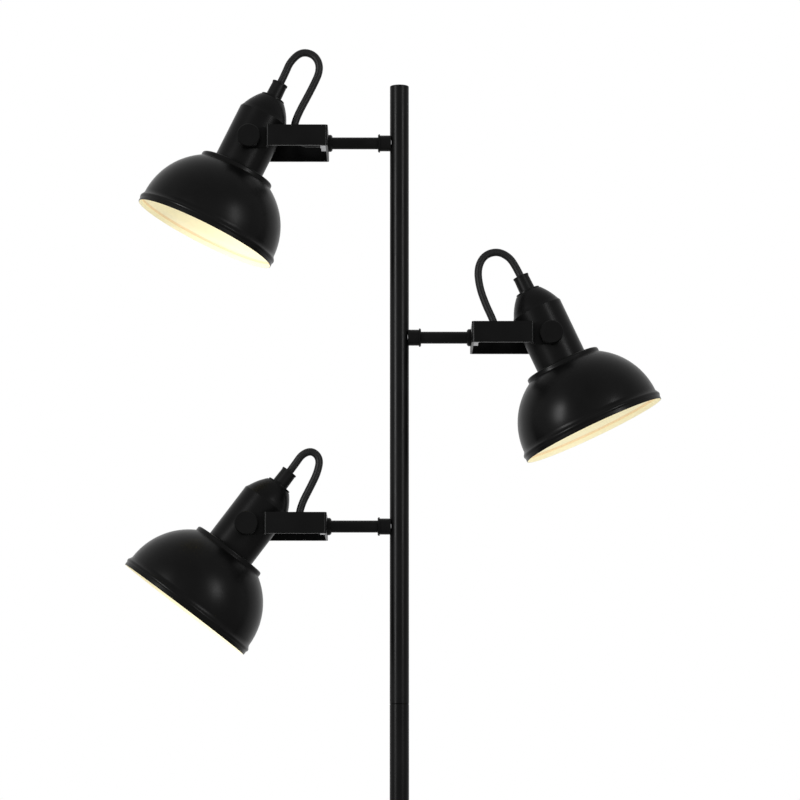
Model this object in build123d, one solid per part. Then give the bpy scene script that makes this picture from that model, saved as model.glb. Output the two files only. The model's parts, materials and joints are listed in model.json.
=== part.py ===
from build123d import *
import os
from math import atan2, cos, hypot, radians, sin, sqrt, tan

# Tree floor lamp. A pole of three screwed sections stands on a round weighted base and carries
# three short side arms. Each arm ends in a pressed fork that swivels about the arm. A spun metal
# head tilts between the fork's tongues on two clamp knobs, and a short cord loops from the arm's
# hollow nipple over into the grip on top of the head.
#
# Millimetres and degrees. The origin is at the centre of the underside, on the floor. +Z is up,
# the middle arm points along +X, and the front is -Y.

os.makedirs("parts", exist_ok=True)

# ---- Clearances ----
turning_play = 0.05  # radial, between a part that turns and its hole
sliding_play = 0.1  # radial, between fixed parts that slide together
face_play = 0.05  # between flat faces that turn against each other

# ---- Pole ----
lamp_height = 1510.5
pole_diameter = 19.0
pole_wall = 1.0
upper_section_length = 621.0  # lamp's top to the joint below the arms
lower_joint_height = 450.0
joint_chamfer = 0.4
coupler_length = 60.0
pole_cap_head_height = 1.6
pole_cap_crown_height = 1.0
pole_cap_spigot_length = 12.0

# ---- Base ----
base_diameter = 250.0
cover_wall = 1.2
cover_edge_radius = 6.0
cover_bands = 3
cover_lift = 1.0  # the cover's rim above the floor
weight_thickness = 16.0
weight_play = 0.5
pad_diameter = 224.0
pad_thickness = 2.5
foot_collar_diameter = 32.0
foot_collar_height = 12.0
foot_collar_floor = 2.0
foot_collar_bevel = 2.0
base_stud_diameter = 10.0
base_stud_bore = 8.0
stud_engagement = 26.0  # how far the stud reaches up into the pole
stud_tip = 1.0  # the stud's end below its nut
base_nut_across_flats = 17.0
base_nut_thickness = 6.0
base_washer_diameter = 28.0
base_washer_thickness = 1.5
pocket_depth = 10.0  # recess under the weight for the nut
pocket_play = 2.0
inlet_height = 7.0
inlet_flange_diameter = 10.0
inlet_flange_thickness = 1.5
inlet_neck_diameter = 8.0
inlet_bore_diameter = 6.0
inlet_channel_play = 0.5  # between the grommet's inner flange and the channel

# ---- Arms ----
arm_reach = 150.0  # pole axis to the head's pivot
nipple_diameter = 10.0
nipple_bore = 8.0
nipple_tip = 1.0  # the nipple's end past its nut
arm_tube_diameter = 12.0
ferrule_diameter = 16.0
ferrule_length = 12.0
ferrule_lip_diameter = 18.4
ferrule_lip_width = 2.0
ferrule_lip_bevel = 0.8
fork_washer_diameter = 17.2
fork_washer_thickness = 4.0
fork_washer_bevel = 1.4
arm_nut_across_flats = 14.0
arm_nut_thickness = 5.0
pole_nut_diameter = 14.0
pole_nut_thickness = 4.0

# ---- Forks ----
fork_length = 78.7  # pivot to the back of the end wall
fork_cheek_length = 61.3
fork_width = 81.0
fork_height = 21.0
fork_sheet = 2.0
fork_back_bend = 3.0  # outer bend radius at the end wall
fork_jog_bend = 2.4  # outer bend radius where the cheeks step in to the tongues
tongue_play = 0.2  # between a tongue and the neck

# ---- Knobs ----
knob_diameter = 23.0
knob_length = 11.4
knob_edge = 0.7
knob_screw_diameter = 5.0
knob_washer_diameter = 15.0
knob_washer_thickness = 1.0
boss_diameter = 10.0

# ---- Heads: heights are measured from the pivot along the head's own axis ----
neck_diameter = 51.6
neck_wall = 1.2
neck_above = 30.5
neck_below = 28.5
cap_bevel_height = 3.0
cap_shoulder_diameter = 48.0
cap_dome_radius = 60.0
cap_dome_height = 16.7
cap_dome_top_diameter = 26.8
cap_crown_diameter = 24.8
cap_crown_height = 2.0
cap_wall = 1.2
cap_spigot_depth = 3.0
cap_bands = 2
grip_diameter = 16.2
grip_waist_diameter = 15.4
grip_lip_height = 1.6
grip_length = 16.3
grip_shank_diameter = 10.0
grip_shank_length = 13.0
grip_mouth_diameter = 8.0
grip_mouth_depth = 5.0

holder_diameter = 38.0
holder_flange_diameter = 45.0
holder_flange_thickness = 2.5
holder_skirt_length = 9.5
holder_body_height = 40.0  # flange to the start of the shoulder
holder_shoulder_height = 9.0
holder_entry_diameter = 15.0
holder_gap = 1.4  # between the lampholder and the screw bosses
socket_depth = 27.5
socket_play = 0.3
shade_ring_diameter = 47.0
shade_ring_thickness = 4.0

collar_diameter = 77.2
collar_height = 5.0
collar_edge = 2.0
collar_step = 1.2  # from the collar's side out to the dome
dome_drop = 64.0  # top of the collar to the foot of the dome
dome_foot_diameter = 144.2
dome_radius = 70.0
bead_diameter = 148.8
bead_radius = 2.8
bead_drop = 68.8
lip_diameter = 147.2
shade_depth = 74.5
shade_wall = 1.0
dome_bands = 5
roll_bands = 3  # round the bead

bulb_cap_diameter = 26.2
bulb_cap_length = 24.5
bulb_contact_diameter = 10.0
globe_diameter = 45.0
globe_drop = 28.5  # mouth of the lampholder to the globe's centre
globe_neck_diameter = 27.0
globe_bands = 5

# ---- Head cords ----
cord_diameter = 7.6

# Each arm: side of the pole, drop from the lamp's top, the head's lean from upright, and its cord.
# A cord's points are (distance from the pole axis, height above the arm axis), chosen by hand,
# from inside the grip's mouth over the loop and down into the nipple.
arms = {
    "upper": (
        -1,
        59.5,
        26.0,
        [
            (121.3, 58.9),
            (115.4, 71.0),
            (110.2, 84.0),
            (98.5, 94.6),
            (84.6, 90.6),
            (79.2, 76.5),
            (87.4, 57.6),
            (104.4, 25.6),
            (106.2, 12.4),
            (102.8, 4.4),
            (96.0, 0.0),
            (87.0, -0.4),
            (78.0, 0.0),
        ],
    ),
    "middle": (
        1,
        257.0,
        25.0,
        [
            (122.3, 59.4),
            (117.2, 70.4),
            (110.0, 81.6),
            (98.0, 87.6),
            (84.6, 83.4),
            (78.0, 69.8),
            (80.0, 51.0),
            (86.2, 33.4),
            (92.8, 19.2),
            (95.6, 11.0),
            (95.2, 6.2),
            (92.6, 2.2),
            (88.4, -0.1),
            (83.2, -0.3),
            (78.0, 0.0),
        ],
    ),
    "lower": (
        -1,
        446.0,
        37.0,
        [
            (110.6, 52.3),
            (103.4, 61.8),
            (96.6, 72.0),
            (86.4, 75.6),
            (78.6, 67.6),
            (81.2, 53.6),
            (88.6, 38.4),
            (96.0, 24.0),
            (99.6, 11.4),
            (97.4, 3.6),
            (91.4, 0.0),
            (84.6, -0.3),
            (78.0, 0.0),
        ],
    ),
}
sharpest_share = 0.45  # of the shorter run beside a corner, taken by the arc there

# ---- Sizes that follow from the driving dimensions ----
pole_radius = pole_diameter / 2
pole_inner_radius = pole_radius - pole_wall
insert_radius = pole_inner_radius - sliding_play
base_radius = base_diameter / 2
weight_top = pad_thickness + weight_thickness
cover_top = weight_top + cover_wall
pole_foot = cover_top + foot_collar_floor
pole_top = lamp_height - pole_cap_head_height - pole_cap_crown_height
upper_joint_height = lamp_height - upper_section_length
pocket_top = pad_thickness + pocket_depth
base_nut_top = pocket_top - base_washer_thickness

fork_back = arm_reach - fork_length
fork_inside = fork_back + fork_sheet
nipple_radius = nipple_diameter / 2
nipple_end = fork_inside + face_play + arm_nut_thickness + nipple_tip
ferrule_end = pole_radius + ferrule_length
washer_back = fork_back - face_play - fork_washer_thickness
pole_nut_face = sqrt(insert_radius**2 - (pole_nut_diameter / 2) ** 2)

neck_radius = neck_diameter / 2
neck_inner_radius = neck_radius - neck_wall
tongue_inside = neck_radius + tongue_play
tongue_outside = tongue_inside + fork_sheet
knob_back = tongue_outside + knob_washer_thickness
screw_radius = knob_screw_diameter / 2
boss_inside = holder_diameter / 2 + holder_gap

cap_shoulder_top = neck_above + cap_bevel_height
cap_dome_top = cap_shoulder_top + cap_dome_height
cap_top = cap_dome_top + cap_crown_height
cap_ceiling = cap_dome_top - cap_wall
grip_top = cap_top + grip_length
shade_top = -neck_below
shade_plate_under = shade_top - shade_wall
holder_mouth = shade_top - holder_skirt_length
socket_ceiling = holder_mouth + socket_depth


# ---- Shape helpers ----
def turned(*outline):
    """A solid of revolution about Z, from a closed ring of (radius, height) points."""
    corners = [here for here, before in zip(outline, outline[-1:] + outline[:-1]) if here != before]
    section = make_face(Polyline(*corners, close=True))
    return revolve(Plane.XZ * section, axis=Axis.Z)


def ring(outer_radius, inner_radius, bottom, top):
    """A plain ring or tube about Z."""
    return turned(
        (inner_radius, bottom), (outer_radius, bottom), (outer_radius, top), (inner_radius, top)
    )


def rod(radius, bottom, top):
    """A plain cylinder about Z."""
    return turned((0, bottom), (radius, bottom), (radius, top), (0, top))


def hex_ring(across_flats, hole_radius, bottom, top):
    """A hexagonal nut about Z."""
    blank = extrude(RegularPolygon(across_flats / 2, 6, major_radius=False), top - bottom)
    return Pos(0, 0, bottom) * blank - rod(hole_radius, bottom, top)


def arc_centre(start, end, radius):
    """Centre of the arc from start to end, which bulges away from the axis."""
    run, climb = end[0] - start[0], end[1] - start[1]
    chord = hypot(run, climb)
    reach = sqrt(radius**2 - (chord / 2) ** 2)
    outward = 1 if climb > 0 else -1
    middle = ((start[0] + end[0]) / 2, (start[1] + end[1]) / 2)
    across = (outward * climb / chord, -outward * run / chord)
    return middle[0] - reach * across[0], middle[1] - reach * across[1]


def arc_points(centre, radius, start_angle, end_angle, bands):
    """Points along an arc in the (radius, height) plane, both ends included; angles in radians."""
    turn = (end_angle - start_angle) / bands
    angles = [start_angle + turn * step for step in range(bands + 1)]
    return [(centre[0] + radius * cos(a), centre[1] + radius * sin(a)) for a in angles]


def bulge(start, end, radius, inset, bands):
    """Points of an outward-bulging arc from start to end, and of the same arc one wall further in."""
    centre = arc_centre(start, end, radius)
    start_angle = atan2(start[1] - centre[1], start[0] - centre[0])
    end_angle = atan2(end[1] - centre[1], end[0] - centre[0])
    outer = arc_points(centre, radius, start_angle, end_angle, bands)
    inner = arc_points(centre, radius - inset, start_angle, end_angle, bands)
    return outer, inner


# Placements: a part made about Z laid along an arm, or across a head towards front or rear.
along_arm = Rot(0, 90, 0)
towards = {"front": Rot(90, 0, 0), "rear": Rot(-90, 0, 0)}


def arm_place(side, drop):
    """From an arm's own frame (pole axis, +X outwards) to the lamp."""
    return Pos(0, 0, lamp_height - drop) * Rot(0, 0, 0 if side > 0 else 180)


def head_place(side, drop, lean):
    """From a head's own frame (pivot, +Z up its axis) to the lamp."""
    return Pos(side * arm_reach, 0, lamp_height - drop) * Rot(0, -side * lean, 0)


# ---- Base ----
def base_pad():
    return rod(pad_diameter / 2, 0, pad_thickness)


def base_weight():
    """Cast disc with a stud hole, a nut recess below and a channel for a mains lead to the rear."""
    radius = base_radius - cover_wall - weight_play
    edge = cover_edge_radius + weight_play
    disc = turned(
        (0, pad_thickness),
        (radius, pad_thickness),
        (radius, weight_top - edge),
        (radius - edge, weight_top),
        (0, weight_top),
    )
    pocket_radius = base_washer_diameter / 2 + pocket_play
    pocket = rod(pocket_radius, pad_thickness, pocket_top)
    channel_half = inlet_flange_diameter / 2 + inlet_channel_play
    channel = Pos(0, radius / 2, inlet_height) * Box(2 * channel_half, radius, 2 * channel_half)
    hole = rod(base_stud_diameter / 2 + sliding_play, pad_thickness, weight_top)
    return disc - pocket - channel - hole


def base_cover():
    """Pressed dish over the weight, with a rounded top edge and a hole for the inlet grommet."""
    centre = (base_radius - cover_edge_radius, cover_top - cover_edge_radius)
    inner_radius = cover_edge_radius - cover_wall
    quarter = radians(90)
    outside = arc_points(centre, cover_edge_radius, 0, quarter, cover_bands)
    inside = arc_points(centre, inner_radius, quarter, 0, cover_bands)
    stud_hole = base_stud_diameter / 2 + sliding_play
    dish = turned(
        (base_radius, cover_lift),
        *outside,
        (stud_hole, cover_top),
        (stud_hole, weight_top),
        *inside,
        (base_radius - cover_wall, cover_lift),
    )
    inlet_hole = (
        Pos(0, 0, inlet_height)
        * towards["rear"]
        * rod(inlet_neck_diameter / 2 + sliding_play, base_radius / 2, base_radius)
    )
    return dish - inlet_hole


def cord_inlet_grommet():
    """Flanged bush through the rear of the base cover."""
    outside = base_radius + face_play
    inside = sqrt((base_radius - cover_wall) ** 2 - (inlet_flange_diameter / 2) ** 2) - face_play
    flange = inlet_flange_diameter / 2
    neck = inlet_neck_diameter / 2
    bore = inlet_bore_diameter / 2
    bush = turned(
        (bore, inside - inlet_flange_thickness),
        (flange, inside - inlet_flange_thickness),
        (flange, inside),
        (neck, inside),
        (neck, outside),
        (flange, outside),
        (flange - inlet_flange_thickness / 2, outside + inlet_flange_thickness),
        (bore, outside + inlet_flange_thickness),
    )
    return Pos(0, 0, inlet_height) * towards["rear"] * bush


def base_fixings():
    """Washer and nut that clamp the base together from below."""
    hole = base_stud_diameter / 2 + sliding_play
    washer = ring(base_washer_diameter / 2, hole, base_nut_top, pocket_top)
    nut = hex_ring(base_nut_across_flats, hole, base_nut_top - base_nut_thickness, base_nut_top)
    return [washer, nut]


def base_stud():
    bottom = base_nut_top - base_nut_thickness - stud_tip
    return ring(base_stud_diameter / 2, base_stud_bore / 2, bottom, pole_foot + stud_engagement)


def pole_foot_collar():
    """Turned cup on the base that the pole stands in."""
    outer = foot_collar_diameter / 2
    seat = pole_radius + sliding_play
    top = cover_top + foot_collar_height
    return turned(
        (base_stud_diameter / 2 + sliding_play, cover_top),
        (outer, cover_top),
        (outer, top - foot_collar_bevel),
        (outer - foot_collar_bevel, top),
        (seat, top),
        (seat, pole_foot),
        (base_stud_diameter / 2 + sliding_play, pole_foot),
    )


# ---- Pole ----
def pole_section(bottom, top, bottom_chamfer, top_chamfer):
    """Tube whose chamfered ends leave a fine line where two sections meet."""
    return turned(
        (pole_inner_radius, bottom),
        (pole_radius - bottom_chamfer, bottom),
        (pole_radius, bottom + bottom_chamfer),
        (pole_radius, top - top_chamfer),
        (pole_radius - top_chamfer, top),
        (pole_inner_radius, top),
    )


def upper_pole_section():
    """The upper section, with a hole in its side for each arm's nipple."""
    tube = pole_section(upper_joint_height, pole_top, joint_chamfer, 0)
    for side, drop, _, _ in arms.values():
        hole = along_arm * rod(nipple_radius + sliding_play, 0, pole_diameter)
        tube -= arm_place(side, drop) * hole
    return tube


def pole_inserts():
    """Threaded inserts: one in the pole's foot for the stud and one across each joint."""
    bore = base_stud_diameter / 2 + sliding_play
    foot = ring(insert_radius, bore, pole_foot, pole_foot + stud_engagement)
    joints = [
        ring(insert_radius, bore, height - coupler_length / 2, height + coupler_length / 2)
        for height in (lower_joint_height, upper_joint_height)
    ]
    return [foot, *joints]


def pole_cap():
    """Press-in plug with a low crowned head."""
    return turned(
        (0, pole_top - pole_cap_spigot_length),
        (insert_radius, pole_top - pole_cap_spigot_length),
        (insert_radius, pole_top),
        (pole_radius, pole_top),
        (pole_radius, pole_top + pole_cap_head_height),
        (pole_radius / 2, lamp_height - pole_cap_crown_height / 4),
        (0, lamp_height),
    )


# ---- Arms: made about Z and laid along the arm, with heights as distances from the pole axis ----
def arm_nipple():
    """Hollow threaded rod that carries the arm and lets the cord through."""
    start = pole_nut_face - pole_nut_thickness
    return along_arm * ring(nipple_radius, nipple_bore / 2, start, nipple_end)


def arm_nut_pair():
    """The round nut inside the pole and the hexagonal one inside the fork."""
    hole = nipple_radius + sliding_play
    in_pole = ring(
        pole_nut_diameter / 2, hole, pole_nut_face - pole_nut_thickness, pole_nut_face
    )
    fork_face = fork_inside + face_play
    in_fork = hex_ring(arm_nut_across_flats, hole, fork_face, fork_face + arm_nut_thickness)
    return [along_arm * in_pole, along_arm * in_fork]


def arm_ferrule():
    """Turned ferrule, saddled to the pole, with a bevelled lip at its outer end."""
    outer = ferrule_diameter / 2
    lip = ferrule_lip_diameter / 2
    bore = nipple_radius + sliding_play
    blank = turned(
        (bore, pole_inner_radius),
        (outer, pole_inner_radius),
        (outer, ferrule_end - ferrule_lip_width),
        (lip, ferrule_end - ferrule_lip_width),
        (lip, ferrule_end - ferrule_lip_bevel),
        (lip - ferrule_lip_bevel, ferrule_end),
        (bore, ferrule_end),
    )
    return along_arm * blank - rod(pole_radius + face_play, -pole_diameter, pole_diameter)


def arm_tube():
    bore = nipple_radius + sliding_play
    return along_arm * ring(arm_tube_diameter / 2, bore, ferrule_end, washer_back)


def fork_washer():
    """Friction washer that the fork turns against, bevelled on the arm's side."""
    outer = fork_washer_diameter / 2
    bore = nipple_radius + sliding_play
    front = washer_back + fork_washer_thickness
    washer = turned(
        (bore, washer_back),
        (outer - fork_washer_bevel, washer_back),
        (outer, washer_back + fork_washer_bevel),
        (outer, front),
        (bore, front),
    )
    return along_arm * washer


# ---- Fork ----
def fork_half_line(half_width, tongue, jog, back, bends):
    """Half of one face of the bent strip, in plan, from the tongue's end to the arm's axis.

    The bends are the radii where the tongue meets the jog, the jog the cheek, and the cheek the
    end wall.
    """
    beyond = arm_reach + fork_height
    return FilletPolyline(
        (beyond, tongue),
        (jog, tongue),
        (jog, half_width),
        (back, half_width),
        (back, 0),
        radius=bends,
    )


def fork_bracket():
    """Strip bent to a U, whose cheeks step in to two tongues rounded about the pivot."""
    half_width = fork_width / 2
    jog = fork_back + fork_cheek_length
    jog_inner_bend = fork_jog_bend - fork_sheet
    outer_bends = [jog_inner_bend, fork_jog_bend, fork_back_bend]
    inner_bends = [fork_jog_bend, jog_inner_bend, fork_back_bend - fork_sheet]
    outer = fork_half_line(half_width, tongue_outside, jog, fork_back, outer_bends)
    inner = fork_half_line(
        half_width - fork_sheet, tongue_inside, jog - fork_sheet, fork_inside, inner_bends
    )
    ends = [Line(outer @ 0, inner @ 0), Line(outer @ 1, inner @ 1)]
    half = make_face([*outer.edges(), *inner.edges(), *ends])
    strip = extrude(half + mirror(half, Plane.XZ), fork_height / 2, both=True)
    tip = Pos(arm_reach, 0, 0) * towards["rear"] * rod(fork_height / 2, -fork_width, fork_width)
    body = Pos(arm_reach / 2, 0, 0) * Box(arm_reach, fork_width, fork_height)
    screw_hole = rod(screw_radius + turning_play, -fork_width, fork_width)
    nipple_hole = rod(nipple_radius + turning_play, 0, fork_inside + fork_sheet)
    fork = strip & (body + tip)
    fork -= Pos(arm_reach, 0, 0) * towards["rear"] * screw_hole
    return fork - along_arm * nipple_hole


def knob_washers():
    """Spring washers between the tongues and the knobs."""
    washer = ring(knob_washer_diameter / 2, screw_radius + turning_play, tongue_outside, knob_back)
    return [Pos(arm_reach, 0, 0) * turn * washer for turn in towards.values()]


def clamp_knob():
    """Plain round knob with its screw, made about Z: the knob's back is its screw's root."""
    outer = knob_diameter / 2
    face = knob_back + knob_length
    return turned(
        (0, boss_inside),
        (screw_radius, boss_inside),
        (screw_radius, knob_back),
        (outer - knob_edge, knob_back),
        (outer, knob_back + knob_edge),
        (outer, face - knob_edge),
        (outer - knob_edge, face),
        (0, face),
    )


# ---- Head, in its own frame ----
def neck_housing():
    """Tube between the tongues, with a threaded boss inside each wall for the knob screws."""
    neck = ring(neck_radius, neck_inner_radius, -neck_below, neck_above)
    for turn in towards.values():
        neck += turn * rod(boss_diameter / 2, boss_inside, neck_inner_radius + neck_wall / 4)
    for turn in towards.values():
        neck -= turn * rod(screw_radius + turning_play, 0, neck_diameter)
    return neck


def top_cap():
    """Domed cap with a bevel at the neck, a low crown and a spigot inside the neck."""
    start = (cap_shoulder_diameter / 2, cap_shoulder_top)
    end = (cap_dome_top_diameter / 2, cap_dome_top)
    outer, inner = bulge(start, end, cap_dome_radius, cap_wall, cap_bands)
    spigot = neck_inner_radius - sliding_play
    hole = grip_shank_diameter / 2 + sliding_play
    crown = cap_crown_diameter / 2
    return turned(
        (neck_radius, neck_above),
        *outer,
        (crown, cap_dome_top),
        (crown, cap_top),
        (hole, cap_top),
        (hole, cap_ceiling),
        (inner[-1][0], cap_ceiling),
        *reversed(inner[:-1]),
        (spigot - cap_wall, neck_above - cap_spigot_depth),
        (spigot, neck_above - cap_spigot_depth),
        (spigot, neck_above),
    )


def cord_grip():
    """Strain relief whose shank screws into the lampholder through the cap."""
    shank = grip_shank_diameter / 2
    lip = grip_diameter / 2
    waist = grip_waist_diameter / 2
    mouth = grip_mouth_diameter / 2
    lip_foot = grip_top - grip_lip_height
    return turned(
        (0, cap_top - grip_shank_length),
        (shank, cap_top - grip_shank_length),
        (shank, cap_top),
        (lip, cap_top),
        (waist, lip_foot),
        (lip, lip_foot),
        (lip, grip_top),
        (mouth, grip_top),
        (mouth, grip_top - grip_mouth_depth),
        (0, grip_top - grip_mouth_depth),
    )


def lampholder():
    """Socket with a threaded skirt through the shade, a flange on it and an entry boss on top."""
    body = holder_diameter / 2
    flange = holder_flange_diameter / 2
    entry = holder_entry_diameter / 2
    bore = grip_shank_diameter / 2 + sliding_play
    socket = bulb_cap_diameter / 2 + socket_play
    flange_top = shade_top + holder_flange_thickness
    shoulder = shade_top + holder_body_height
    bore_end = cap_top - grip_shank_length
    return turned(
        (socket, holder_mouth),
        (body, holder_mouth),
        (body, shade_top),
        (flange, shade_top),
        (flange, flange_top),
        (body, flange_top),
        (body, shoulder),
        (entry, shoulder + holder_shoulder_height),
        (entry, cap_ceiling),
        (bore, cap_ceiling),
        (bore, bore_end),
        (0, bore_end),
        (0, socket_ceiling),
        (socket, socket_ceiling),
    )


def shade_ring():
    """Ring screwed on the lampholder's skirt to clamp the shade."""
    inner = holder_diameter / 2 + sliding_play
    under = shade_plate_under - shade_ring_thickness
    return ring(shade_ring_diameter / 2, inner, under, shade_plate_under)


def shade():
    """Spun shade: flat top, raised collar, dome, pressed bead and a short straight lip."""
    hole = holder_diameter / 2 + sliding_play
    collar = collar_diameter / 2
    collar_foot = shade_top - collar_height
    collar_inner = collar - shade_wall
    dome_start = (collar + collar_step, collar_foot - collar_step / 2)
    dome_end = (dome_foot_diameter / 2, shade_top - dome_drop)
    outer, inner = bulge(dome_start, dome_end, dome_radius, shade_wall, dome_bands)
    bead_centre = (bead_diameter / 2 - bead_radius, shade_top - bead_drop)
    bead_start, bead_end = radians(50), radians(-45)
    bead = arc_points(bead_centre, bead_radius, bead_start, bead_end, roll_bands)
    groove = arc_points(bead_centre, bead_radius - shade_wall, bead_start, bead_end, roll_bands)
    lip = lip_diameter / 2
    rim = shade_top - shade_depth
    return turned(
        (hole, shade_top),
        (collar - collar_edge, shade_top),
        (collar, shade_top - collar_edge),
        (collar, collar_foot),
        *outer,
        *bead,
        (lip, bead[-1][1] - shade_wall),
        (lip, rim),
        (lip - shade_wall, rim),
        (lip - shade_wall, groove[-1][1] - shade_wall),
        *reversed(groove),
        *reversed(inner),
        (collar_inner, collar_foot - shade_wall / 2),
        (collar_inner, shade_plate_under - collar_edge),
        (collar_inner - collar_edge, shade_plate_under),
        (hole, shade_plate_under),
    )


def bulb_cap():
    """The bulb's threaded cap and centre contact."""
    shell = bulb_cap_diameter / 2
    contact = bulb_contact_diameter / 2
    return turned(
        (0, holder_mouth),
        (shell, holder_mouth),
        (shell, holder_mouth + bulb_cap_length),
        (contact, socket_ceiling),
        (0, socket_ceiling),
    )


def bulb_globe():
    """Opal golf-ball bulb with a short neck."""
    radius = globe_diameter / 2
    neck = globe_neck_diameter / 2
    centre = (0, holder_mouth - globe_drop)
    neck_angle = atan2(sqrt(radius**2 - neck**2), neck)
    ball = arc_points(centre, radius, neck_angle, radians(-90), globe_bands)
    return turned((0, holder_mouth), (neck, holder_mouth), *ball[:-1], (0, ball[-1][1]))


# ---- Cords ----
def head_cord(name, points):
    """Round cord along straight runs joined by tangent arcs, in an arm's own frame."""
    corners = [Vector(distance, 0, height) for distance, height in points]
    runs = [b - a for a, b in zip(corners, corners[1:])]
    radii = []
    for before, after in zip(runs, runs[1:]):
        half_turn = radians(before.get_angle(after)) / 2
        shorter = min(before.length, after.length)
        radii.append(sharpest_share * shorter / tan(half_turn))
    path = FilletPolyline(*corners, radius=radii)
    section = Plane(corners[0], z_dir=path % 0) * Circle(cord_diameter / 2)
    tube = sweep(section, path=path)
    expected = section.area * path.length
    print(name, "cord length", round(path.length, 1), "radii", [round(r, 1) for r in radii],
          "volume share", round(tube.volume / expected, 5))
    return tube


# ---- Assembly: every named piece in the lamp's frame ----
nodes = {
    "base_pad": [base_pad()],
    "base_weight": [base_weight()],
    "base_cover": [base_cover()],
    "cord_inlet_grommet": [cord_inlet_grommet()],
    "base_fixings": base_fixings(),
    "base_stud": [base_stud()],
    "pole_foot_collar": [pole_foot_collar()],
    "pole_lower": [pole_section(pole_foot, lower_joint_height, 0, joint_chamfer)],
    "pole_middle": [
        pole_section(lower_joint_height, upper_joint_height, joint_chamfer, joint_chamfer)
    ],
    "pole_upper": [upper_pole_section()],
    "pole_inserts": pole_inserts(),
    "pole_cap": [pole_cap()],
    "arm_nipples": [],
    "arm_nuts": [],
    "fork_washers": [],
}

for name, (side, drop, lean, cord_points) in arms.items():
    on_arm = arm_place(side, drop)
    on_head = head_place(side, drop, lean)
    nodes["arm_nipples"].append(on_arm * arm_nipple())
    nodes["arm_nuts"] += [on_arm * nut for nut in arm_nut_pair()]
    nodes["fork_washers"].append(on_arm * fork_washer())
    nodes[name + "_arm_ferrule"] = [on_arm * arm_ferrule()]
    nodes[name + "_arm_tube"] = [on_arm * arm_tube()]
    nodes[name + "_fork"] = [on_arm * fork_bracket()]
    nodes[name + "_knob_washers"] = [on_arm * washer for washer in knob_washers()]
    for face, turn in towards.items():
        nodes[f"{name}_{face}_knob"] = [on_head * turn * clamp_knob()]
    nodes[name + "_neck_housing"] = [on_head * neck_housing()]
    nodes[name + "_top_cap"] = [on_head * top_cap()]
    nodes[name + "_cord_grip"] = [on_head * cord_grip()]
    nodes[name + "_lampholder"] = [on_head * lampholder()]
    nodes[name + "_shade_ring"] = [on_head * shade_ring()]
    nodes[name + "_shade"] = [on_head * shade()]
    nodes[name + "_bulb_cap"] = [on_head * bulb_cap()]
    nodes[name + "_bulb_globe"] = [on_head * bulb_globe()]
    nodes[name + "_head_cord"] = [on_arm * head_cord(name, cord_points)]

for node, solids in nodes.items():
    solids = [solid for shape in solids for solid in shape.solids()]
    piece = solids[0] if len(solids) == 1 else Compound(children=solids)
    piece.label = node
    export_step(piece, f"parts/{node}.step")
print(len(nodes), "nodes")
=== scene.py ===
import json
from math import atan2, cos, degrees, hypot, pi, radians, sin, sqrt

import bmesh
import bpy
from mathutils import Matrix, Vector


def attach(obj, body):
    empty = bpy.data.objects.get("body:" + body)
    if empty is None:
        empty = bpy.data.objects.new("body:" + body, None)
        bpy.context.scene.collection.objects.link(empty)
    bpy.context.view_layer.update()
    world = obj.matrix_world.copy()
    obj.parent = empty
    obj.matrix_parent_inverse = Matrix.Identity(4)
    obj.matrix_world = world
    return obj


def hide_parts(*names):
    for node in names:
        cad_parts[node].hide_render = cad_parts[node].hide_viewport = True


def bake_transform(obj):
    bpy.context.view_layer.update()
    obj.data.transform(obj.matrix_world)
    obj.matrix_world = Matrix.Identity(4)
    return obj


# Looks of the tree floor lamp: smooth spun shades and caps, braided cords and lit bulbs around
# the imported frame. Sizes of the object are in millimetres. Heights in a head are from its pivot,
# along its own axis, and heights in the stand are from the floor.

MM = 0.001

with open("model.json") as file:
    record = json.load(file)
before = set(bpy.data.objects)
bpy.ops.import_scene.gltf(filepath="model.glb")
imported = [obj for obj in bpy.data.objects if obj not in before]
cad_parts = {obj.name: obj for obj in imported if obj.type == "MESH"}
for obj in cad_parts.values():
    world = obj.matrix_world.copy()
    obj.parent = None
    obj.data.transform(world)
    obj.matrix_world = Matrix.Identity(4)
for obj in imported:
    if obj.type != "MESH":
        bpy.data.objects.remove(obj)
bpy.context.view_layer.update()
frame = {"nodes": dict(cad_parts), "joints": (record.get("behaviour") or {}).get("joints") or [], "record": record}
nodes = frame["nodes"]
joints = {joint["name"]: joint for joint in frame["joints"]}

# ---- Heads ----
head_lean = {"upper": 26.0, "middle": 25.0, "lower": 37.0}  # degrees from upright

# Each cord's points from the grip to the nipple, in millimetres, as (distance from the pole's
# axis, height above the arm's axis).
cord_routes = {
    "upper": [
        (121.3, 58.9),
        (115.4, 71.0),
        (110.2, 84.0),
        (98.5, 94.6),
        (84.6, 90.6),
        (79.2, 76.5),
        (87.4, 57.6),
        (104.4, 25.6),
        (106.2, 12.4),
        (102.8, 4.4),
        (96.0, 0.0),
        (87.0, -0.4),
        (78.0, 0.0),
    ],
    "middle": [
        (122.3, 59.4),
        (117.2, 70.4),
        (110.0, 81.6),
        (98.0, 87.6),
        (84.6, 83.4),
        (78.0, 69.8),
        (80.0, 51.0),
        (86.2, 33.4),
        (92.8, 19.2),
        (95.6, 11.0),
        (95.2, 6.2),
        (92.6, 2.2),
        (88.4, -0.1),
        (83.2, -0.3),
        (78.0, 0.0),
    ],
    "lower": [
        (110.6, 52.3),
        (103.4, 61.8),
        (96.6, 72.0),
        (86.4, 75.6),
        (78.6, 67.6),
        (81.2, 53.6),
        (88.6, 38.4),
        (96.0, 24.0),
        (99.6, 11.4),
        (97.4, 3.6),
        (91.4, 0.0),
        (84.6, -0.3),
        (78.0, 0.0),
    ],
}
cord_diameter = 7.6
cord_sides = 24
braid_yarns = 16  # round the cord, each way

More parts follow.
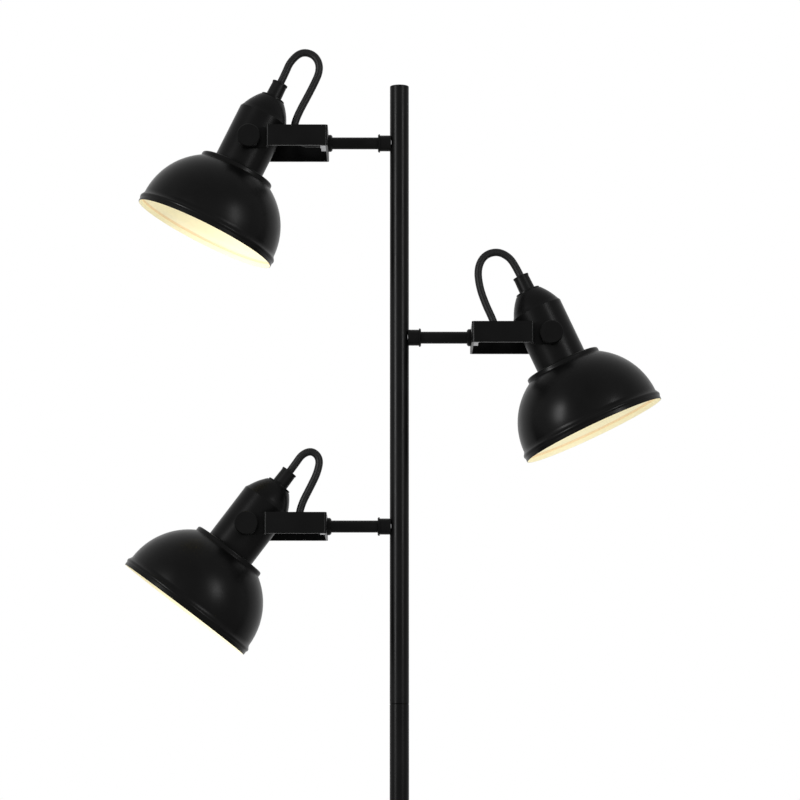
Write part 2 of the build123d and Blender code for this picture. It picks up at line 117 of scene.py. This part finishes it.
# ---- Shade ----
shade_top = -28.5
shade_wall = 1.0
shade_hole_diameter = 38.2
collar_diameter = 77.2
collar_height = 5.0
collar_edge = 2.0
collar_step = 1.2
collar_foot_rise = 0.4
collar_foot_flare = 0.15
dome_drop = 64.0
dome_foot_diameter = 144.2
dome_radius = 70.0
bead_diameter = 148.8
bead_radius = 2.8
bead_drop = 68.8
bead_start, bead_end = 50, -45  # degrees above level, seen from the bead's centre
lip_diameter = 147.2
shade_depth = 74.5
rim_flat = 0.3

# ---- Bulb ----
holder_mouth = -38.0
globe_diameter = 45.0
globe_drop = 28.5
globe_neck_diameter = 27.0

# ---- Top cap ----
neck_above = 30.5
neck_diameter = 51.6
cap_bevel_height = 3.0
cap_shoulder_diameter = 48.0
cap_dome_radius = 60.0
cap_dome_height = 16.7
cap_dome_top_diameter = 26.8
cap_crown_diameter = 24.8
cap_crown_height = 2.0
cap_crown_flare = 0.2
cap_crown_edge = 0.5
cap_hole_diameter = 10.4

# ---- Stand ----
lamp_height = 1510.5
pole_diameter = 19.0
pole_cap_head_height = 1.6
pole_cap_crown_height = 1.0
pole_cap_edge = 0.6
base_diameter = 250.0
cover_top = 19.7
cover_edge_radius = 6.0
cover_wall = 1.2
cover_lift = 1.0
foot_hole_diameter = 20.0

# ---- How many faces a round form gets, along its profile and about its axis ----
dome_steps = 40
bead_steps = 12
inner_bead_steps = 8
rim_steps = 8
edge_steps = 6
cap_dome_steps = 24
cap_edge_steps = 4
globe_steps = 40
cover_edge_steps = 16
inner_cover_edge_steps = 8
pole_crown_steps = 12
pole_edge_steps = 5
turned_sides = 144
base_sides = 192
floor_sides = 128


# ---- Profiles: lists of (radius, height) points ----
def arc(centre, radius, start, end, steps):
    """Points along an arc, both ends included; angles in degrees."""
    angles = [radians(start + (end - start) * i / steps) for i in range(steps + 1)]
    return [(centre[0] + radius * cos(a), centre[1] + radius * sin(a)) for a in angles]


def bulge(start, end, radius, inset, steps):
    """Points of an arc from start down or up to end that bulges away from the axis, moved in."""
    run, climb = end[0] - start[0], end[1] - start[1]
    chord = hypot(run, climb)
    reach = sqrt(radius**2 - (chord / 2) ** 2)
    outward = 1 if climb > 0 else -1
    centre = (
        (start[0] + end[0]) / 2 - reach * outward * climb / chord,
        (start[1] + end[1]) / 2 + reach * outward * run / chord,
    )
    first = degrees(atan2(start[1] - centre[1], start[0] - centre[0]))
    last = degrees(atan2(end[1] - centre[1], end[0] - centre[0]))
    return arc(centre, radius - inset, first, last, steps)


def shade_profile():
    """The shade's outside from its hole to the rim, and its inside back to the hole."""
    collar = collar_diameter / 2
    foot = shade_top - collar_height
    edge = (collar - collar_edge, shade_top - collar_edge)
    dome_start = (collar + collar_step, foot - collar_step / 2)
    dome_end = (dome_foot_diameter / 2, shade_top - dome_drop)
    bead = (bead_diameter / 2 - bead_radius, shade_top - bead_drop)
    lip = lip_diameter / 2
    rim = shade_top - shade_depth
    outside = [
        (shade_hole_diameter / 2, shade_top),
        *arc(edge, collar_edge, 90, 0, edge_steps),
        (collar, foot + collar_foot_rise),
        (collar + collar_foot_flare, foot),
        *bulge(dome_start, dome_end, dome_radius, 0, dome_steps),
        *arc(bead, bead_radius, bead_start, bead_end, bead_steps),
        (lip, bead[1] - bead_radius * sin(radians(-bead_end)) - shade_wall),
        (lip, rim + rim_flat),
    ]
    half_wall = shade_wall / 2
    round_rim = arc((lip - half_wall, rim + half_wall), half_wall, 0, -180, rim_steps)
    inner_radius = bead_radius - shade_wall
    inside = [
        (lip - shade_wall, bead[1] - inner_radius * sin(radians(-bead_end)) - shade_wall),
        *arc(bead, inner_radius, bead_end, bead_start, inner_bead_steps),
        *reversed(bulge(dome_start, dome_end, dome_radius, shade_wall, dome_steps)),
        (collar - shade_wall, foot - half_wall),
        *arc(edge, collar_edge - shade_wall, 0, 90, edge_steps),
        (shade_hole_diameter / 2, shade_top - shade_wall),
    ]
    return outside + round_rim, inside


def cap_profile():
    """The top cap's outside, from the neck to its cord hole."""
    shoulder = neck_above + cap_bevel_height
    dome_top = shoulder + cap_dome_height
    crown = cap_crown_diameter / 2
    start = (cap_shoulder_diameter / 2, shoulder)
    end = (cap_dome_top_diameter / 2, dome_top)
    crown_top = dome_top + cap_crown_height
    edge = (crown - cap_crown_edge, crown_top - cap_crown_edge)
    return [
        (neck_diameter / 2, neck_above),
        *bulge(start, end, cap_dome_radius, 0, cap_dome_steps),
        (crown + cap_crown_flare, dome_top),
        (crown, dome_top + cap_crown_flare),
        *arc(edge, cap_crown_edge, 0, 90, cap_edge_steps),
        (cap_hole_diameter / 2, crown_top),
    ]


def globe_profile():
    """The bulb's globe, from its neck at the lampholder's mouth to its lowest point."""
    radius = globe_diameter / 2
    neck = globe_neck_diameter / 2
    centre = (0, holder_mouth - globe_drop)
    first = degrees(atan2(sqrt(radius**2 - neck**2), neck))
    ball = arc(centre, radius, first, -90, globe_steps)
    return [(0, holder_mouth), (neck, holder_mouth), *ball]


def base_profile():
    """The base cover, from under the foot collar out and down to its rim, and inside."""
    radius = base_diameter / 2
    centre = (radius - cover_edge_radius, cover_top - cover_edge_radius)
    inner = cover_edge_radius - cover_wall
    return [
        (foot_hole_diameter / 2, cover_top),
        (radius / 2, cover_top),
        *arc(centre, cover_edge_radius, 90, 0, cover_edge_steps),
        (radius, cover_lift),
        (radius - cover_wall, cover_lift),
        *arc(centre, inner, 0, 90, inner_cover_edge_steps),
        (foot_hole_diameter / 2, cover_top - cover_wall),
        (foot_hole_diameter / 2, cover_top),
    ]


def pole_cap_profile():
    """The pole cap's crowned head, down to the end of the pole."""
    radius = pole_diameter / 2
    shoulder = lamp_height - pole_cap_crown_height
    foot = shoulder - pole_cap_head_height
    edge = (radius - pole_cap_edge, shoulder - pole_cap_edge)
    crown_radius = (edge[0] ** 2 + pole_cap_crown_height**2) / (2 * pole_cap_crown_height)
    crown = (0, lamp_height - crown_radius)
    end = degrees(atan2(shoulder - crown[1], edge[0]))
    return [
        *arc(crown, crown_radius, 90, end, pole_crown_steps),
        *arc(edge, pole_cap_edge, 80, 0, pole_edge_steps),
        (radius, foot),
        (0, foot),
    ]


# ---- Placement ----
def head_pivot(name):
    """A head's pivot, and its side of the pole: 1 for the right and -1 for the left."""
    pivot = Vector(joints[name + "_head_tilt"]["pos_m"])
    return pivot, 1 if pivot.x > 0 else -1


def head_place(name):
    """From a head's own frame (millimetres, pivot, +Z up its axis) to the lamp's."""
    pivot, side = head_pivot(name)
    lean = Matrix.Rotation(radians(-side * head_lean[name]), 4, "Y")
    return Matrix.Translation(pivot) @ lean @ Matrix.Scale(MM, 4)


def in_lamp(name, point):
    """A cord's point, given as in cord_routes, in the lamp's frame and in metres."""
    pivot, side = head_pivot(name)
    return Vector((side * point[0] * MM, 0, pivot.z + point[1] * MM))


# ---- Mesh helpers ----
sharp_angle = 40  # an edge between faces that turn by more degrees stays sharp
on_axis = 1e-6  # a smaller radius is a point on the axis


def link(name, mesh):
    """A new object in the scene with this mesh."""
    piece = bpy.data.objects.new(name, mesh)
    bpy.context.scene.collection.objects.link(piece)
    return piece


def lathe(name, profile, place, slots, segments=turned_sides):
    """A surface of revolution about +Z, then placed. A slot is (material, first profile point)."""
    mesh = bpy.data.meshes.new(name)
    shape = bmesh.new()
    rings = []
    turns = [2 * pi * i / segments for i in range(segments)]
    for radius, height in profile:
        if radius < on_axis:
            rings.append([shape.verts.new((0, 0, height))] * segments)
            continue
        ring = [(radius * cos(turn), radius * sin(turn), height) for turn in turns]
        rings.append([shape.verts.new(corner) for corner in ring])
    starts = [first for _, first in slots]
    for row, (upper, lower) in enumerate(zip(rings, rings[1:])):
        slot = max(i for i, first in enumerate(starts) if row >= first)
        for i in range(segments):
            j = (i + 1) % segments
            corners = list(dict.fromkeys([upper[i], lower[i], lower[j], upper[j]]))
            if len(corners) > 2:
                face = shape.faces.new(corners)
                face.smooth = True
                face.material_index = slot
    bmesh.ops.recalc_face_normals(shape, faces=shape.faces)
    shape.transform(place)
    shape.to_mesh(mesh)
    shape.free()
    mesh.set_sharp_from_angle(angle=radians(sharp_angle))
    for material, _ in slots:
        mesh.materials.append(material)
    return link(name, mesh)


# ---- Materials ----
# Patterns are in the object's own coordinates, so a scale of 1000 is a cell of one millimetre.
pattern_low, pattern_high = 0.3, 0.7  # most of a noise pattern lies between these
cloud_detail = 3.0
grain_detail = 2.0
grain_strength = 0.35
roughness_drift = 0.04  # up and down
fibre_scale = 2500
fibre_share = 0.3  # of a yarn's height


def finish(name, roughness, **settings):
    """A new material with its principled shader. Settings are sockets, such as metallic=1."""
    material = bpy.data.materials.new(name)
    material.use_nodes = True
    shader = material.node_tree.nodes["Principled BSDF"]
    shader.inputs["Roughness"].default_value = roughness
    for setting, value in settings.items():
        socket = setting.replace("_", " ").title().replace("Ior", "IOR")
        shader.inputs[socket].default_value = value
    return material.node_tree, shader


def noise(tree, scale, detail, stretch=(1, 1, 1)):
    """The value of a noise pattern in the object's own coordinates."""
    place = tree.nodes.new("ShaderNodeTexCoord")
    mapping = tree.nodes.new("ShaderNodeMapping")
    mapping.inputs["Scale"].default_value = stretch
    pattern = tree.nodes.new("ShaderNodeTexNoise")
    pattern.inputs["Scale"].default_value = scale
    pattern.inputs["Detail"].default_value = detail
    tree.links.new(place.outputs["Object"], mapping.inputs["Vector"])
    tree.links.new(mapping.outputs["Vector"], pattern.inputs["Vector"])
    return pattern.outputs["Fac"]


def spread(tree, value, low, high):
    """The pattern's value as a number from low to high."""
    remap = tree.nodes.new("ShaderNodeMapRange")
    remap.inputs["From Min"].default_value = pattern_low
    remap.inputs["From Max"].default_value = pattern_high
    remap.inputs["To Min"].default_value = low
    remap.inputs["To Max"].default_value = high
    tree.links.new(value, remap.inputs["Value"])
    return remap.outputs["Result"]


def tint(tree, value, dark, light):
    """The pattern's value as a colour from dark to light."""
    ramp = tree.nodes.new("ShaderNodeValToRGB")
    ends = ((pattern_low, dark), (pattern_high, light))
    for stop, (position, colour) in zip(ramp.color_ramp.elements, ends):
        stop.position = position
        stop.color = (*colour, 1)
    tree.links.new(value, ramp.inputs["Fac"])
    return ramp.outputs["Color"]


def grain(tree, shader, height, depth, strength):
    """Raises the surface by the pattern, depth metres at most."""
    bump = tree.nodes.new("ShaderNodeBump")
    bump.inputs["Strength"].default_value = strength
    bump.inputs["Distance"].default_value = depth
    tree.links.new(height, bump.inputs["Height"])
    tree.links.new(bump.outputs["Normal"], shader.inputs["Normal"])


def surface(
    name, scale, dark, light, roughness, depth, grain_scale, stretch=(1, 1, 1), **settings
):
    """A material whose colour and roughness drift a little, with a grain on its surface."""
    tree, shader = finish(name, roughness, **settings)
    cloud = noise(tree, scale, cloud_detail, stretch)
    tree.links.new(tint(tree, cloud, dark, light), shader.inputs["Base Color"])
    drift = spread(tree, cloud, roughness - roughness_drift, roughness + roughness_drift)
    tree.links.new(drift, shader.inputs["Roughness"])
    pattern = noise(tree, grain_scale, grain_detail, stretch)
    grain(tree, shader, pattern, depth, grain_strength)
    return bpy.data.materials[name]


def braided(name):
    """Woven sleeve of a cord: diagonal yarns that pass over and under each other."""
    tree, shader = finish(
        name, roughness=0.42, specular_ior_level=0.12, sheen_weight=0.02, sheen_roughness=0.5
    )
    place = tree.nodes.new("ShaderNodeUVMap")
    place.uv_map = "braid"
    split = tree.nodes.new("ShaderNodeSeparateXYZ")
    tree.links.new(place.outputs["UV"], split.inputs["Vector"])

    def math(operation, first, second=None):
        node = tree.nodes.new("ShaderNodeMath")
        node.operation = operation
        for socket, value in zip(node.inputs, (first, second)):
            if isinstance(value, (int, float)):
                socket.default_value = value
            elif value is not None:
                tree.links.new(value, socket)
        return node.outputs["Value"]

    def yarns(operation):
        """Waves along one diagonal: X counts yarns round the cord, and Y along it."""
        diagonal = math(operation, split.outputs["X"], split.outputs["Y"])
        return math("SINE", math("MULTIPLY", diagonal, pi))

    over = math("MULTIPLY", yarns("ADD"), yarns("SUBTRACT"))
    yarn = math("ADD", math("MULTIPLY", over, 0.5), 0.5)
    fibre = math("MULTIPLY", noise(tree, fibre_scale, grain_detail), fibre_share)
    height = math("ADD", yarn, fibre)
    # Lighter on the yarns' tops and darker where they dip, which is painted shade between the yarns, with a random
    # fibre tone on top.
    colour = tint(tree, height, dark=(0.001,) * 3, light=(0.005, 0.005, 0.0053))
    tree.links.new(colour, shader.inputs["Base Color"])
    grain(tree, shader, height, depth=0.0003, strength=0.6)
    return bpy.data.materials[name]


def glowing(name, glow, strength, **look):
    """A pale surface near the lit bulb, with emission: on the globe the lit bulb's own glow, on the shade's lining
    and the inside of its bead painted light from the bulb.
    """
    material = surface(name, depth=0.00004, grain_scale=1200, **look)
    shader = material.node_tree.nodes["Principled BSDF"]
    shader.inputs["Emission Color"].default_value = (*glow, 1)
    shader.inputs["Emission Strength"].default_value = strength
    return material


coat = surface(
    "coat",
    scale=35,
    dark=(0.0014,) * 3,
    light=(0.0024,) * 3,
    roughness=0.32,
    depth=0.00006,
    grain_scale=1400,
    specular_ior_level=0.065,
)
# The lining's cream tone is its own colour; its emission is painted light from the bulb.
lining = glowing(
    "lining",
    scale=18,
    dark=(0.62, 0.575, 0.41),
    light=(0.66, 0.615, 0.45),
    roughness=0.6,
    glow=(1.0, 0.93, 0.63),
    strength=0.38,
)
# The darker, more orange tone here is painted shade inside the bead; the emission is painted light from the bulb.
groove = glowing(
    "groove",
    scale=18,
    dark=(0.6, 0.47, 0.3),
    light=(0.64, 0.5, 0.33),
    roughness=0.6,
    glow=(1.0, 0.8, 0.5),
    strength=0.34,
)
opal = glowing(
    "opal",
    scale=30,
    dark=(0.7, 0.68, 0.58),
    light=(0.75, 0.73, 0.63),
    roughness=0.35,
    glow=(1.0, 0.92, 0.74),
    strength=0.35,
)
braid = braided("braid")
steel = surface(
    "zinc",
    scale=90,
    dark=(0.42, 0.42, 0.43),
    light=(0.6, 0.6, 0.61),
    roughness=0.3,
    depth=0.00003,
    grain_scale=900,
    stretch=(1, 1, 4),
    metallic=1.0,
)
iron = surface(
    "iron",
    scale=120,
    dark=(0.018,) * 3,
    light=(0.04, 0.038, 0.036),
    roughness=0.7,
    depth=0.0004,
    grain_scale=400,
)
rubber = surface(
    "rubber",
    scale=60,
    dark=(0.012,) * 3,
    light=(0.02,) * 3,
    roughness=0.8,
    depth=0.0001,
    grain_scale=700,
)
plastic = surface(
    "plastic",
    scale=50,
    dark=(0.0016,) * 3,
    light=(0.0028,) * 3,
    roughness=0.4,
    depth=0.00005,
    grain_scale=900,
    specular_ior_level=0.08,
)
shell = surface(
    "shell",
    scale=80,
    dark=(0.6, 0.6, 0.6),
    light=(0.76, 0.76, 0.77),
    roughness=0.3,
    depth=0.00003,
    grain_scale=900,
    metallic=1.0,
)
floor_paint = surface(
    "floor",
    scale=4,
    dark=(0.76,) * 3,
    light=(0.8,) * 3,
    roughness=0.85,
    depth=0.0002,
    grain_scale=300,
    specular_ior_level=0.1,
)

slot_finish = {
    "black_coat": coat,
    "zinc_steel": steel,
    "cast_weight": iron,
    "pad_rubber": rubber,
    "black_plastic": plastic,
    "opal_plastic": opal,
    "bulb_shell": shell,
    "cord_braid": braid,
}
for part in frame["record"]["subparts"]:
    for holder in nodes[part["node"]].material_slots:
        holder.material = slot_finish[part["material_slot"]]


# ---- Heads ----
def spline_points(name):
    """Points along the cord's smooth centreline."""
    control = [in_lamp(name, point) for point in cord_routes[name]]
    curve = bpy.data.curves.new(name + "_route", "CURVE")
    curve.dimensions = "3D"
    curve.resolution_u = 12
    spline = curve.splines.new("NURBS")
    spline.points.add(len(control) - 1)
    for point, place in zip(spline.points, control):
        point.co = (*place, 1)
    spline.order_u = 3
    spline.use_endpoint_u = True
    route = bpy.data.objects.new(name + "_route", curve)
    bpy.context.scene.collection.objects.link(route)
    bpy.context.view_layer.update()
    line = bpy.data.meshes.new_from_object(route)
    points = [vertex.co.copy() for vertex in line.vertices]
    bpy.data.meshes.remove(line)
    bpy.data.objects.remove(route)
    return points


def cord(name):
    """The head's braided cord, a tube along its route."""
    points = spline_points(name)
    radius = cord_diameter / 2 * MM
    across = Vector((0, 1, 0))
    round_turns = [2 * pi * k / cord_sides for k in range(cord_sides)]
    shape = bmesh.new()
    route_uv = shape.loops.layers.uv.new("braid")
    rings = []
    along = [0.0]
    for a, b in zip(points, points[1:]):
        along.append(along[-1] + (b - a).length / (2 * pi * radius) * braid_yarns)
    for i, point in enumerate(points):
        tangent = (points[min(i + 1, len(points) - 1)] - points[max(i - 1, 0)]).normalized()
        up = tangent.cross(across).normalized()
        ring = [point + radius * (across * cos(t) + up * sin(t)) for t in round_turns]
        rings.append([shape.verts.new(corner) for corner in ring])
    for i, (a, b) in enumerate(zip(rings, rings[1:])):
        for k in range(cord_sides):
            beside = (k + 1) % cord_sides
            face = shape.faces.new([a[k], b[k], b[beside], a[beside]])
            face.smooth = True
            turns = (k, k, k + 1, k + 1)
            lengths = (along[i], along[i + 1], along[i + 1], along[i])
            for loop, turn, length in zip(face.loops, turns, lengths):
                loop[route_uv].uv = (turn / cord_sides * braid_yarns, length)
    shape.faces.new(rings[0])
    shape.faces.new(rings[-1])
    bmesh.ops.recalc_face_normals(shape, faces=shape.faces)
    mesh = bpy.data.meshes.new(name + "_cord")
    shape.to_mesh(mesh)
    shape.free()
    mesh.materials.append(braid)
    piece = link(name + "_cord", mesh)
    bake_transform(piece)
    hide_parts(name + "_head_cord")


for name in head_lean:
    place = head_place(name)
    outside, inside = shade_profile()
    seam = len(outside)
    slots = [
        (coat, 0),
        (lining, seam - rim_steps // 2 - 1),
        (groove, seam + 1),
        (lining, seam + inner_bead_steps),
    ]
    shade = lathe(name + "_spun_shade", outside + inside, place, slots)
    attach(shade, name + "_head")
    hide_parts(name + "_shade")
    cap = lathe(name + "_domed_cap", cap_profile(), place, [(coat, 0)])
    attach(cap, name + "_head")
    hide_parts(name + "_top_cap")
    globe = lathe(name + "_globe", globe_profile(), place, [(opal, 0)])
    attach(globe, name + "_head")
    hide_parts(name + "_bulb_globe")
    cord(name)

# ---- Stand ----
upright = Matrix.Scale(MM, 4)
base_shell = lathe("base_shell", base_profile(), upright, [(coat, 0)], base_sides)
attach(base_shell, "stand")
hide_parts("base_cover")
pole_crown = lathe("pole_crown", pole_cap_profile(), upright, [(coat, 0)])
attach(pole_crown, "stand")
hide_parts("pole_cap")

# ---- Camera ----
scene = bpy.context.scene
camera = bpy.data.objects.new("camera", bpy.data.cameras.new("camera"))
camera.data.lens = 146.16
camera.data.sensor_width = 36
camera.location = (-0.0096, -3.2, 0.7573)
aim = Vector((0.0006, 0, 1.1908))
camera.rotation_euler = (aim - camera.location).to_track_quat("-Z", "Y").to_euler()
scene.collection.objects.link(camera)
scene.camera = camera
scene.view_settings.view_transform = "Standard"


# ---- Floor and light ----
def add_seen(tree):
    """One for camera, glossy and transmission rays, and zero for the light on the object."""
    ray = tree.nodes.new("ShaderNodeLightPath")
    total = ray.outputs["Is Camera Ray"]
    for kind in ("Is Glossy Ray", "Is Transmission Ray"):
        either = tree.nodes.new("ShaderNodeMath")
        either.operation = "MAXIMUM"
        tree.links.new(total, either.inputs[0])
        tree.links.new(ray.outputs[kind], either.inputs[1])
        total = either.outputs["Value"]
    return total


def paint_floor(tree):
    """Fades the floor to white with distance, and gives the near floor a little own light."""
    white = tree.nodes.new("ShaderNodeEmission")
    share = tree.nodes.new("ShaderNodeMapRange")
    share.interpolation_type = "SMOOTHSTEP"
    share.inputs["From Min"].default_value = fade_start
    share.inputs["From Max"].default_value = fade_end
    share.inputs["To Min"].default_value = 0.0
    place = tree.nodes.new("ShaderNodeTexCoord")
    away = tree.nodes.new("ShaderNodeVectorMath")
    away.operation = "LENGTH"
    near = tree.nodes.new("ShaderNodeMath")
    near.operation = "MULTIPLY"
    near.inputs[1].default_value = floor_own_light
    seen = add_seen(tree)
    mix = tree.nodes.new("ShaderNodeMixShader")
    shader = tree.nodes["Principled BSDF"]
    shader.inputs["Emission Color"].default_value = (1, 1, 1, 1)
    tree.links.new(place.outputs["Object"], away.inputs[0])
    tree.links.new(away.outputs["Value"], share.inputs["Value"])
    tree.links.new(seen, near.inputs[0])
    tree.links.new(near.outputs["Value"], shader.inputs["Emission Strength"])
    tree.links.new(seen, white.inputs["Strength"])
    tree.links.new(share.outputs["Result"], mix.inputs["Fac"])
    tree.links.new(shader.outputs["BSDF"], mix.inputs[1])
    tree.links.new(white.outputs["Emission"], mix.inputs[2])
    tree.links.new(mix.outputs["Shader"], tree.nodes["Material Output"].inputs["Surface"])


# In metres from the pole, and as a strength.
floor_radius = 9.0
fade_start, fade_end = 0.8, 4.2
floor_own_light = 0.1
paint_floor(floor_paint.node_tree)

floor_mesh = bpy.data.meshes.new("floor")
shape = bmesh.new()
bmesh.ops.create_circle(shape, cap_ends=True, segments=floor_sides, radius=floor_radius)
shape.to_mesh(floor_mesh)
shape.free()
floor_mesh.materials.append(floor_paint)
floor = link("floor", floor_mesh)


def softbox(name, azimuth, height, watts, distance=2.6, width=0.3, tall=1.1):
    """A tall soft light that faces the lamp's arms. Azimuth is from the front, to the right."""
    light = bpy.data.lights.new(name, "AREA")
    light.shape = "RECTANGLE"
    light.size = width
    light.size_y = tall
    light.energy = watts
    lamp = bpy.data.objects.new(name, light)
    turn = radians(azimuth)
    lamp.location = (distance * sin(turn), -distance * cos(turn), height)
    middle = Vector((0, 0, arms_height))
    lamp.rotation_euler = (middle - lamp.location).to_track_quat("-Z", "Y").to_euler()
    lamp.visible_camera = False
    scene.collection.objects.link(lamp)


arms_height = 1.2
softbox("left_box", azimuth=-50, height=1.6, watts=64)
softbox("right_box", azimuth=42, height=1.75, watts=36)

# The backdrop is white to the camera and in reflections, and lights the object less.
diffuse_light = 0.4
world = bpy.data.worlds.new("studio")
scene.world = world
world.use_nodes = True
sky = world.node_tree
backdrop = sky.nodes["Background"]
backdrop.inputs["Color"].default_value = (1, 1, 1, 1)
level = sky.nodes.new("ShaderNodeMapRange")
level.inputs["To Min"].default_value = diffuse_light
level.inputs["To Max"].default_value = 1.0
sky.links.new(add_seen(sky), level.inputs["Value"])
sky.links.new(level.outputs["Result"], backdrop.inputs["Strength"])
